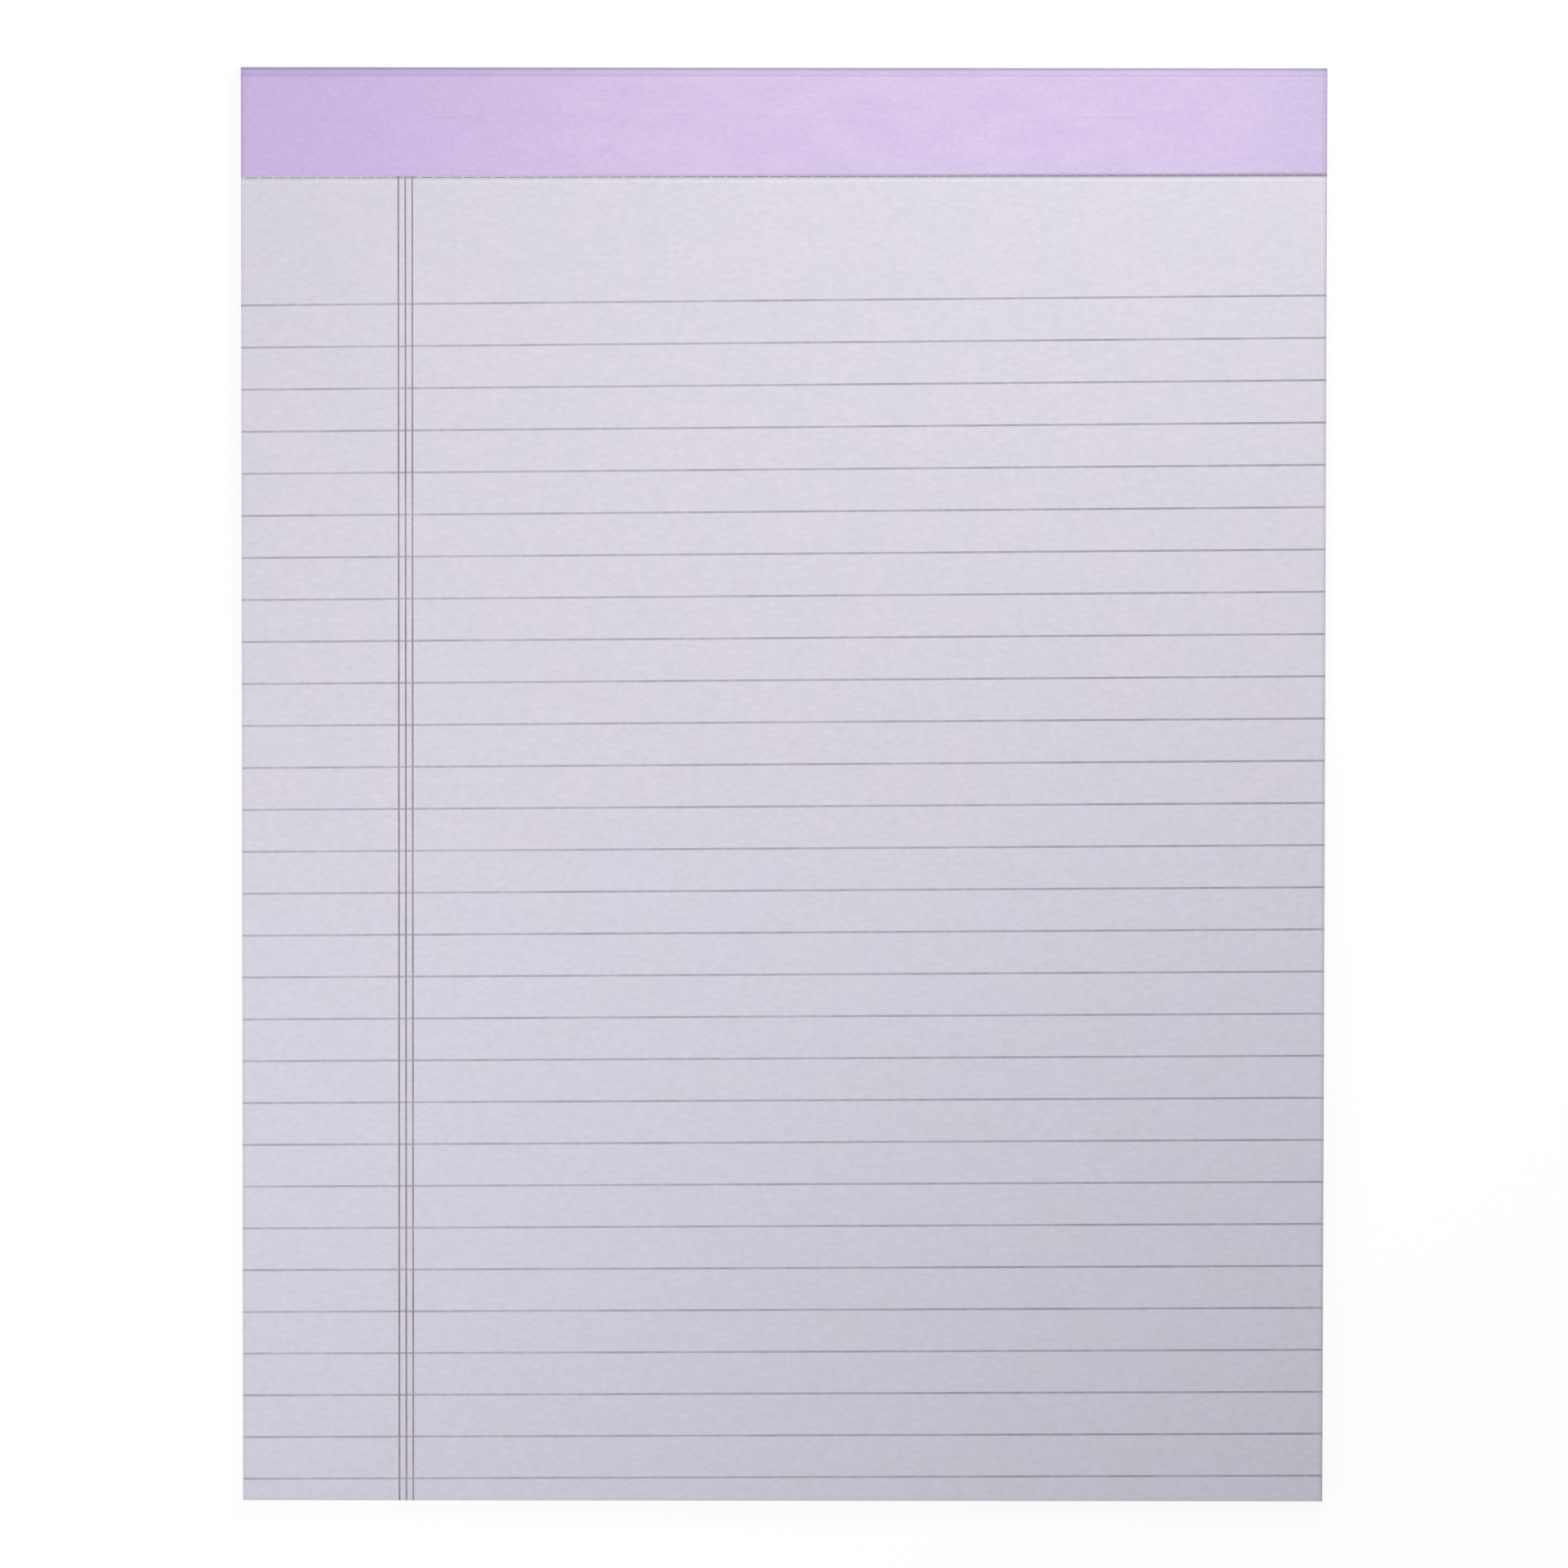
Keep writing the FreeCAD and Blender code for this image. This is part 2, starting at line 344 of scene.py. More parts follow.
class ShadeGraph(Graph):
    """The nodes of one surface finish, on the object's own coordinates."""

    CLOUD_RANGE = (0.34, 0.66)  # which soft noise hardly leaves
    MIX_INPUTS = (0, 6, 7)  # the share and the two colours of a Mix node
    MIX_OUTPUT = 2

    def __init__(self, name: str) -> None:
        """Makes the material that the nodes belong to.

        Args:
            name: The material's name.
        """
        self.material = bpy.data.materials.new(name)
        self.material.use_nodes = True
        super().__init__(self.material.node_tree)
        self.place = self.node("ShaderNodeTexCoord").outputs["Object"]
        self.x, self.y, self.z = self.node("ShaderNodeSeparateXYZ", {0: self.place}).outputs

    def inwards(self, side: Side) -> NodeSocket:
        """How far a shaded point lies in from a long side of the pad."""
        ends = (self.x, side.x) if side is Side.LEFT else (side.x, self.x)
        return self.math("SUBTRACT", *ends)

    def noise(self, size: float, detail: float = 2.0, stretch: Triple = (1, 1, 1)) -> NodeSocket:
        """Soft random blotches around one half.

        Args:
            size: How wide a blotch is.
            detail: How many finer layers it has.
            stretch: How much longer the blotches are along each axis.

        Returns:
            A value from about nought to one.
        """
        scale = [1 / (size * longer) for longer in stretch]
        spot = self.out("ShaderNodeMapping", {"Vector": self.place, "Scale": scale})
        return self.out("ShaderNodeTexNoise", {"Vector": spot, "Scale": 1.0, "Detail": detail})

    def around(self, value: Feed, middle: float, reach: float) -> NodeSocket:
        """Turns a value from nought to one into one that lies about a middle."""
        return self.math("MULTIPLY_ADD", value, 2 * reach, middle - reach)

    def ramp(self, value: Feed, start: float, end: float, low: Feed, high: Feed) -> NodeSocket:
        """A soft step from low to high, as the value goes from start to end.

        Args:
            value: What the step follows.
            start: Where it begins.
            end: Where it is done.
            low: What it gives up to the start.
            high: What it gives from the end on.

        Returns:
            The step.
        """
        feeds = {"Value": value, "From Min": start, "From Max": end, "To Min": low, "To Max": high}
        step = self.node("ShaderNodeMapRange", feeds, interpolation_type="SMOOTHSTEP")
        return step.outputs["Result"]

    def clouds(self, size: float, stretch: Triple = (1, 1, 1)) -> NodeSocket:
        """Wide soft blotches that use the whole range from nought to one."""
        return self.ramp(self.noise(size, detail=3, stretch=stretch), *self.CLOUD_RANGE, 0, 1)

    def across(self, left: float, right: float) -> NodeSocket:
        """A value that goes from one side of the pad to the other."""
        return self.ramp(self.x, Side.LEFT.x, Side.RIGHT.x, left, right)

    def product(self, values: Iterable[Feed]) -> Feed:
        """All the values multiplied together.

        Args:
            values: The factors.

        Returns:
            Their product.
        """
        total: Feed = 1.0
        for value in values:
            total = self.math("MULTIPLY", total, value)
        return total

    def blend(self, share: Feed, first: Feed, second: Feed) -> NodeSocket:
        """A colour between two, where a share of one gives the second.

        Args:
            share: How much of the second there is.
            first: One colour.
            second: The other colour.

        Returns:
            The mixed colour.
        """
        mix = self.node("ShaderNodeMix", data_type="RGBA")
        for place, value in zip(self.MIX_INPUTS, (share, first, second)):
            self.feed(mix.inputs[place], (*value, 1.0) if isinstance(value, tuple) else value)
        return mix.outputs[self.MIX_OUTPUT]

    def shaded(self, colour: Feed, shade: Feed) -> NodeSocket:
        """A colour made lighter or darker by a factor."""
        return self.out("ShaderNodeVectorMath", {0: colour, "Scale": shade}, operation="SCALE")

    def finish(self, colour: Feed, uneven: Feed, relief: Feed, sheen: Sheen) -> Material:
        """Ends the nodes in a surface.

        Args:
            colour: Base colour.
            uneven: The pattern about one half that its roughness follows.
            relief: Height of its fine relief, in metres.
            sheen: How it takes the light.

        Returns:
            The finished material.
        """
        bump = self.out("ShaderNodeBump", {"Height": relief, "Strength": 1.0, "Distance": 1.0})
        feeds = {
            "Base Color": colour,
            "Roughness": self.around(uneven, sheen.roughness, sheen.reach),
            "Specular IOR Level": sheen.specular,
            "Metallic": sheen.metallic,
            "Normal": bump,
        }
        surface = self.out("ShaderNodeBsdfPrincipled", feeds)
        self.node("ShaderNodeOutputMaterial", {"Surface": surface})
        return self.material


@dataclass(frozen=True)
class PaperTooth:
    """The fine relief and the uneven pulp of a sheet of paper."""

    fibre_size: float = 0.8 * MM
    fibre_relief: float = 0.004 * MM
    fibre_shade: float = 0.1
    cockle_size: float = 22 * MM
    cockle_relief: float = 0.05 * MM
    grain: Triple = (1.8, 1, 1)  # fibres lie along the width

    def fibres(self, graph: ShadeGraph) -> NodeSocket:
        """The pulp's fibres, as blotches about one half."""
        return graph.noise(self.fibre_size, detail=4, stretch=self.grain)

    def relief(self, graph: ShadeGraph, fibres: Feed) -> NodeSocket:
        """Height of the paper's tooth and its slow waves."""
        waves = graph.math("MULTIPLY", graph.noise(self.cockle_size, detail=1), self.cockle_relief)
        return graph.math("MULTIPLY_ADD", fibres, self.fibre_relief, waves)


@dataclass(frozen=True)
class PaintedEdgeShade:
    """Painted shade beside the trimmed edges of paper: how much darker it is right beside them."""

    left: float
    right: float
    foot: float
    reach: float  # how far in from an edge

    def shades(self, graph: ShadeGraph) -> list[NodeSocket]:
        """One factor of painted shade for each trimmed edge.

        Args:
            graph: The finish that they are for.

        Returns:
            Factors from a little under one, at an edge, to one.
        """
        distances = (
            (graph.inwards(Side.LEFT), self.left),
            (graph.inwards(Side.RIGHT), self.right),
            (graph.math("SUBTRACT", graph.y, Solid.SHEETS.low.y), self.foot),
        )
        return [graph.ramp(distance, 0, self.reach, 1 - depth, 1) for distance, depth in distances]


@dataclass(frozen=True)
class WritingPaper:
    """Tinted writing paper, with the ends of its rules on the sides of the stack."""

    colour: Colour = (0.735, 0.712, 0.798)
    cloud_colour: Colour = (0.750, 0.708, 0.792)
    cloud_size: float = 11 * MM
    foot_shade_tint: Colour = (0.978, 0.997, 1.027)  # painted bluish shade, by which the tone is multiplied near the foot
    foot_shade_fade: Span = (79 * MM, -108 * MM)  # Y where that starts and where it is full
    slit_shade: Colour = (0.24, 0.22, 0.34)  # painted shadow along the slits, below the strip's front edge
    sheen: Sheen = Sheen(0.85, reach=0.05, specular=0.25)
    tooth: PaperTooth = PaperTooth()
    # painted shade beside the sheets' trimmed edges
    edge_shade: PaintedEdgeShade = PaintedEdgeShade(left=0.06, right=0.2, foot=0.04, reach=1.0 * MM)
    sheet_shade: float = 0.06  # from sheet to sheet, on the sides of the stack
    mark_depth: float = 0.16
    mark_width: float = 0.7 * MM
    side_depth: float = 0.2 * MM  # how far from a side its marks reach
    slit_shadow_reach: float = 0.6 * MM  # of the painted shadow along the slits
    slit_shadow_strength: Span = (0.28, 0.8)  # how strong that painted shadow is at the left and at the right
    lip_place: float = 0.95 * MM  # from the slits to the painted highlight below them
    lip_reach: float = 0.4 * MM
    lip_highlight: Span = (0.05, 0.1)  # how much lighter the painted highlight is at the left and at the right

    def marks(self, graph: ShadeGraph, side: Side) -> NodeSocket:
        """The darker spots where printed rules run off one side of the pad.

        Args:
            graph: The finish that they are for.
            side: The long side of the pad.

        Returns:
            A factor that is under one on the spots.
        """
        row = EdgeMarks.read(side)
        near = graph.math("LESS_THAN", graph.math("ABSOLUTE", graph.inwards(side)), self.side_depth)
        step = graph.math("DIVIDE", graph.math("SUBTRACT", graph.y, row.first), row.pitch)
        nearest = graph.math("ROUND", step)
        missed = graph.math("ABSOLUTE", graph.math("SUBTRACT", step, nearest))
        off_middle = graph.math("ABSOLUTE", graph.math("SUBTRACT", step, (row.count - 1) / 2))
        within = graph.math("LESS_THAN", off_middle, row.count / 2)
        spot = graph.ramp(missed, 0, self.mark_width / 2 / row.pitch, self.mark_depth, 0)
        return graph.math("SUBTRACT", 1, graph.product([spot, near, within]))

    def slit_shadow_share(self, graph: ShadeGraph, slits: Row) -> NodeSocket:
        """How much of the painted shadow along the slits shows, more of it to the right."""
        off_slits = graph.math("ABSOLUTE", slits.off(graph))
        return graph.ramp(off_slits, 0, self.slit_shadow_reach, graph.across(*self.slit_shadow_strength), 0)

    def lip_highlight_gain(self, graph: ShadeGraph, slits: Row) -> NodeSocket:
        """A painted highlight in a line just below the slits."""
        off_lip = graph.math("ABSOLUTE", graph.math("ADD", slits.off(graph), self.lip_place))
        return graph.math("ADD", 1, graph.ramp(off_lip, 0, self.lip_reach, graph.across(*self.lip_highlight), 0))

    def material(self, slits: Row) -> Material:
        """Builds the paper.

        Args:
            slits: The row along which the sheets tear off.

        Returns:
            The finished material.
        """
        graph = ShadeGraph("ruled_paper")
        fibres = self.tooth.fibres(graph)
        sheet = graph.node("ShaderNodeAttribute", attribute_name=SheetStack.SHADE).outputs["Fac"]
        shades = [
            graph.around(fibres, 1, self.tooth.fibre_shade),
            graph.math("MULTIPLY_ADD", sheet, self.sheet_shade, 1),
            # painted highlight just below the slits
            self.lip_highlight_gain(graph, slits),
            # painted shade beside the trimmed edges
            *self.edge_shade.shades(graph),
            *(self.marks(graph, side) for side in Side),
        ]
        clouds = graph.blend(graph.clouds(self.cloud_size), self.colour, self.cloud_colour)
        # Painted bluish shade towards the foot.
        towards_foot = graph.ramp(graph.y, *self.foot_shade_fade, 0, 1)
        shade_tint = graph.blend(towards_foot, WHITE, self.foot_shade_tint)
        tone = graph.out("ShaderNodeVectorMath", {0: clouds, 1: shade_tint}, operation="MULTIPLY")
        plain = graph.shaded(tone, graph.product(shades))
        # Painted shadow along the slits.
        colour = graph.blend(self.slit_shadow_share(graph, slits), plain, self.slit_shade)
        return graph.finish(colour, fibres, self.tooth.relief(graph, fibres), self.sheen)


@dataclass(frozen=True)
class BindingPaper:
    """Lilac binding paper, glued down, with a fine grain along its length."""

    colour: Colour = (0.664, 0.546, 0.806)
    cloud_colour: Colour = (0.698, 0.572, 0.812)
    left_colour: Colour = (0.636, 0.489, 0.803)
    right_colour: Colour = (0.630, 0.532, 0.783)
    left_fade: Span = (102 * MM, 3 * MM)  # from that end, where its colour starts and is full
    right_fade: Span = (25 * MM, 0)
    cloud_size: float = 6 * MM
    cloud_stretch: Triple = (2, 1, 1)
    sheen: Sheen = Sheen(0.68, reach=0.06, specular=0.35)
    streak_size: float = 0.35 * MM
    streak_length: float = 40.0  # how many times longer than wide a streak is
    streak_shade: float = 0.035
    tooth: PaperTooth = PaperTooth(fibre_size=0.7 * MM, fibre_shade=0.11, cockle_size=9 * MM)
    # painted shade beside the strip's cut ends
    edge_shade: PaintedEdgeShade = PaintedEdgeShade(left=0.14, right=0.17, foot=0.0, reach=1.3 * MM)
    front_reach: float = 0.35 * MM  # of the shade along the front edge
    front_shade: Span = (0.06, 0.3)  # how deep it is at the left and at the right
    spine_shade: Span = (0.90, 1.28)  # of the spine's lower and upper part
    spine_change: Span = (1.4 * MM, 2.9 * MM)  # the heights between which it changes
    spine_end: Span = (5.0 * MM, 5.45 * MM)  # where the upper fold takes over
    spine_depth: Span = (0.6 * MM, 0.2 * MM)  # behind the spine's face, where it starts and is full

    def spine(self, graph: ShadeGraph) -> NodeSocket:
        """The spine's shade, darker in its lower part and lighter in its upper part.

        Args:
            graph: The finish that it is for.

        Returns:
            A factor, which is one off the spine.
        """
        behind_face = graph.math("SUBTRACT", Solid.STRIP.high.y, graph.y)
        share = graph.ramp(behind_face, *self.spine_depth, 0, 1)
        lower, upper = self.spine_shade
        shade = graph.ramp(graph.z, *self.spine_change, lower - 1, upper - 1)
        below_fold = graph.ramp(graph.z, *self.spine_end, 1, 0)
        return graph.math("ADD", 1, graph.product([share, shade, below_fold]))

    def front(self, graph: ShadeGraph, edge: Row) -> NodeSocket:
        """The shade beside the front edge, stronger to the right."""
        depth = graph.across(*self.front_shade)
        return graph.math("SUBTRACT", 1, graph.ramp(edge.off(graph), 0, self.front_reach, depth, 0))

    def material(self, edge: Row) -> Material:
        """Builds the binding paper.

        Args:
            edge: The strip's front edge.

        Returns:
            The finished material.
        """
        graph = ShadeGraph("strip_paper")
        fibres = self.tooth.fibres(graph)
        streaks = graph.noise(self.streak_size, stretch=(self.streak_length, 1, 1))
        shades = [
            graph.around(fibres, 1, self.tooth.fibre_shade),
            graph.around(streaks, 1, self.streak_shade),
            # painted shade beside the strip's cut ends
            *self.edge_shade.shades(graph),
            self.spine(graph),
            self.front(graph, edge),
        ]
        clouds = graph.clouds(self.cloud_size, self.cloud_stretch)
        tone = graph.blend(clouds, self.colour, self.cloud_colour)
        left = graph.ramp(graph.inwards(Side.LEFT), *self.left_fade, 0, 1)
        right = graph.ramp(graph.inwards(Side.RIGHT), *self.right_fade, 0, 1)
        tone = graph.blend(left, tone, self.left_colour)
        tone = graph.blend(right, tone, self.right_colour)
        colour = graph.shaded(tone, graph.product(shades))
        return graph.finish(colour, streaks, self.tooth.relief(graph, fibres), self.sheen)


@dataclass(frozen=True)
class PrintedInk:
    """Thin ruling ink, which the paper's fibres take up unevenly."""

    name: str
    colour: Colour
    thin_colour: Colour  # where the paper shows through
    thin_end: float  # the place across the pad where the ink is thinnest
    full_end: float  # and where it is fullest
    thinning: float = 0.34  # how much thinner it is at the thin end
    patch_size: float = 1.4 * MM
    run_size: float = 14 * MM  # slow change of strength along a line
    run_share: float = 0.6  # of that slow change, where the patches make the rest
    strength_range: Span = (0.3, 0.7)
    sheen: Sheen = Sheen(0.8, reach=0.06, specular=0.25)
    tooth: PaperTooth = PaperTooth()

    def material(self) -> Material:
        """Builds the ink.

        Returns:
            The finished material.
        """
        graph = ShadeGraph(self.name)
        fibres = self.tooth.fibres(graph)
        patches = graph.math("MULTIPLY", graph.noise(self.patch_size, detail=3), 1 - self.run_share)
        strength = graph.math("MULTIPLY_ADD", graph.noise(self.run_size), self.run_share, patches)
        uneven = graph.ramp(strength, *self.strength_range, 0, 1)
        thinner = graph.ramp(graph.x, self.thin_end, self.full_end, self.thinning, 0)
        share = graph.math("MULTIPLY_ADD", uneven, 1 - self.thinning, thinner)
        tone = graph.blend(share, self.colour, self.thin_colour)
        colour = graph.shaded(tone, graph.around(fibres, 1, self.tooth.fibre_shade))
        return graph.finish(colour, fibres, self.tooth.relief(graph, fibres), self.sheen)


@dataclass(frozen=True)
class Chipboard:
    """Grey-brown board of recycled pulp, with light and dark flecks and a layered edge."""

    colour: Colour = (0.330, 0.285, 0.225)
    dark_fleck: Colour = (0.105, 0.092, 0.082)
    light_fleck: Colour = (0.560, 0.520, 0.450)
    fleck_size: float = 0.9 * MM
    fleck_stretch: Triple = (1.8, 1, 1)
    fine_size: float = 0.3 * MM
    fine_stretch: Triple = (1, 2.2, 1)
    dark_range: Span = (0.62, 0.72)  # of the noise, where a fleck starts and is full
    dark_share: float = 0.75
    light_range: Span = (0.64, 0.74)
    light_share: float = 0.6
    pulp_shade: float = 0.1
    cloud_size: float = 26 * MM
    layer_size: float = 0.11 * MM
    layer_length: float = 60.0  # how many times longer than thick a layer is
    layer_shade: float = 0.12
    sheen: Sheen = Sheen(0.92, reach=0.06, specular=0.2)
    relief: float = 0.03 * MM

    def material(self) -> Material:
        """Builds the board.

        Returns:
            The finished material.
        """
        graph = ShadeGraph("grey_chipboard")
        coarse = graph.noise(self.fleck_size, detail=3, stretch=self.fleck_stretch)
        fine = graph.noise(self.fine_size, stretch=self.fine_stretch)
        layers = graph.noise(self.layer_size, stretch=(self.layer_length, self.layer_length, 1))
        clouds = graph.noise(self.cloud_size, detail=3)
        dark = graph.ramp(coarse, *self.dark_range, 0, self.dark_share)
        light = graph.ramp(fine, *self.light_range, 0, self.light_share)
        tone = graph.blend(light, graph.blend(dark, self.colour, self.dark_fleck), self.light_fleck)
        shades = [
            graph.around(clouds, 1, self.pulp_shade),
            graph.around(layers, 1, self.layer_shade),
            graph.around(fine, 1, self.pulp_shade),
        ]
        colour = graph.shaded(tone, graph.product(shades))
        height = graph.math("MULTIPLY", graph.math("ADD", coarse, fine), self.relief)
        return graph.finish(colour, fine, height, self.sheen)


@dataclass(frozen=True)
class StapleWire:
    """Drawn steel wire with a dull zinc coat."""

    colour: Colour = (0.62, 0.63, 0.65)
    spangle_colour: Colour = (0.5, 0.5, 0.53)
    spangle_size: float = 0.8 * MM
    sheen: Sheen = Sheen(0.32, reach=0.12, metallic=1.0)
    draw_size: float = 0.06 * MM
    draw_length: float = 60.0  # how many times longer than wide a drawing mark is
    draw_shade: float = 0.08
    relief: float = 0.002 * MM

    def material(self) -> Material:
        """Builds the wire.

        Returns:
            The finished material.
        """
        graph = ShadeGraph("zinc_wire")
        drawn = graph.noise(self.draw_size, stretch=(self.draw_length, 1, 1))
        spangle = graph.noise(self.spangle_size, detail=3)
        tone = graph.blend(spangle, self.colour, self.spangle_colour)
        colour = graph.shaded(tone, graph.around(drawn, 1, self.draw_shade))
        height = graph.math("MULTIPLY", drawn, self.relief)
        return graph.finish(colour, spangle, height, self.sheen)


class ShapeTree:
    """A Geometry Nodes tree with named inputs."""

    KINDS = {
        float: "NodeSocketFloat",
        int: "NodeSocketInt",
        tuple: "NodeSocketVector",
        Material: "NodeSocketMaterial",
    }

    def __init__(self, name: str, inputs: dict[str, type]) -> None:
        """Starts a tree.

        Args:
            name: The tree's name.
            inputs: The kind of each named input.
        """
        self.tree = bpy.data.node_groups.new(name, "GeometryNodeTree")
        sockets = self.tree.interface
        sockets.new_socket("Geometry", in_out="INPUT", socket_type="NodeSocketGeometry")
        for title, kind in inputs.items():
            sockets.new_socket(title, in_out="INPUT", socket_type=self.KINDS[kind])
        sockets.new_socket("Geometry", in_out="OUTPUT", socket_type="NodeSocketGeometry")
        self.graph = Graph(self.tree)
        self.given = self.graph.node("NodeGroupInput").outputs

    def end(self, geometry: NodeSocket) -> None:
        """Sends the finished geometry out of the tree."""
        self.graph.node("NodeGroupOutput", {"Geometry": geometry})

    def add_to(self, piece: Object, **values: object) -> None:
        """Puts the tree on a piece, with its inputs set by their identifiers.

        Args:
            piece: The object whose mesh goes into the tree.
            **values: The named inputs.
        """
        modifier = piece.modifiers.new(self.tree.name, "NODES")
        modifier.node_group = self.tree
        for item in self.tree.interface.items_tree:
            if item.name in values:
                modifier[item.identifier] = values[item.name]


def baked(piece: Object) -> Object:
    """Turns what a piece's modifiers make into its own plain mesh.

    Args:
        piece: The object with its modifiers.

    Returns:
        The same object.
    """
    depsgraph = bpy.context.evaluated_depsgraph_get()
    mesh = bpy.data.meshes.new_from_object(piece.evaluated_get(depsgraph), depsgraph=depsgraph)
    piece.modifiers.clear()
    piece.data = mesh
    return piece


def new_piece(name: str, points: Sequence[Sequence[float]], faces: Sequence[Sequence[int]]) -> Object:
    """An object with a mesh of its own, whose faces point outwards.

    Args:
        name: The piece's name.
        points: Its corners.
        faces: The corners of each face.

    Returns:
        The object, linked to the scene.
    """
    mesh = bpy.data.meshes.new(name)
    mesh.from_pydata(points, [], faces)
    shape = bmesh.new()
    shape.from_mesh(mesh)
    bmesh.ops.recalc_face_normals(shape, faces=shape.faces)
    shape.to_mesh(mesh)
    shape.free()
    return linked(name, mesh)


def shell(name: str, outer: list[list[Vector]], inner: list[list[Vector]]) -> Object:
    """A closed wall between two grids of points.

    Args:
        name: The piece's name.
        outer: Rows of points on one face.
        inner: As many rows and points on the other face.

    Returns:
        The object.
    """
    rows, columns = len(outer), len(outer[0])
    points = [point for grid in (outer, inner) for row in grid for point in row]
    far = rows * columns

    def at(row: int, column: int) -> int:
        """Which point of the outer grid stands there."""
        return row * columns + column

    faces = []
    for r in range(rows - 1):
        for c in range(columns - 1):
            face = (at(r, c), at(r, c + 1), at(r + 1, c + 1), at(r + 1, c))
            faces.append(face)
            faces.append(tuple(far + point for point in reversed(face)))
    along = [at(0, c) for c in range(columns)], [at(rows - 1, c) for c in range(columns)]
    across = [at(r, 0) for r in range(rows)], [at(r, columns - 1) for r in range(rows)]
    for rim in (*along, *across):
        faces.extend((a, b, far + b, far + a) for a, b in zip(rim, rim[1:]))
    return new_piece(name, points, faces)


def fit(piece: Object, material: Material, slot: Slot, *stands_for: Solid) -> None:
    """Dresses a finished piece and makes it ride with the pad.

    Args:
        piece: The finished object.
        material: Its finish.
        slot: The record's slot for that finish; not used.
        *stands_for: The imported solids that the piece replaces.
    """
    piece.data.materials.clear()
    piece.data.materials.append(material)
    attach(piece, BODY)
    for solid in stands_for:
        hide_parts(solid.value)
    log.info("%s: %d faces", piece.name, len(piece.data.polygons))


def dress(solid: Solid, material: Material) -> None:
    """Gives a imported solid, which keeps its shape, its finish.

    Args:
        solid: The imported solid.
        material: Its finish.
    """
    slots = solid.packed.data.materials
    slots.clear()
    slots.append(material)
    log.info("%s: keeps its solid, finished as %s", solid.value, material.name)


@dataclass(frozen=True)
class HoleRow:
    """A straight row of equal holes through a sheet."""

    count: int
    pitch: float
    length: float  # of one hole, along the row
    width: float
    middle: tuple[float, float]  # X and Y
    turn: float = 0.0  # of the row, in radians

    def cut(self, sheet: Object, punch: ShapeTree, height: float, depth: float) -> None:
        """Cuts the row into a sheet.

        Args:
            sheet: The sheet.
            punch: The tree that cuts a row of holes.
            height: Where the sheet's middle lies along Z.
            depth: How tall the cutter is.
        """
        punch.add_to(
            sheet,
            Count=self.count,
            Pitch=self.pitch,
            Hole=(self.length, self.width, depth),
            Start=(-(self.count - 1) / 2 * self.pitch, 0.0, 0.0),
            Place=(*self.middle, height),
            Turn=(0.0, 0.0, self.turn),
        )


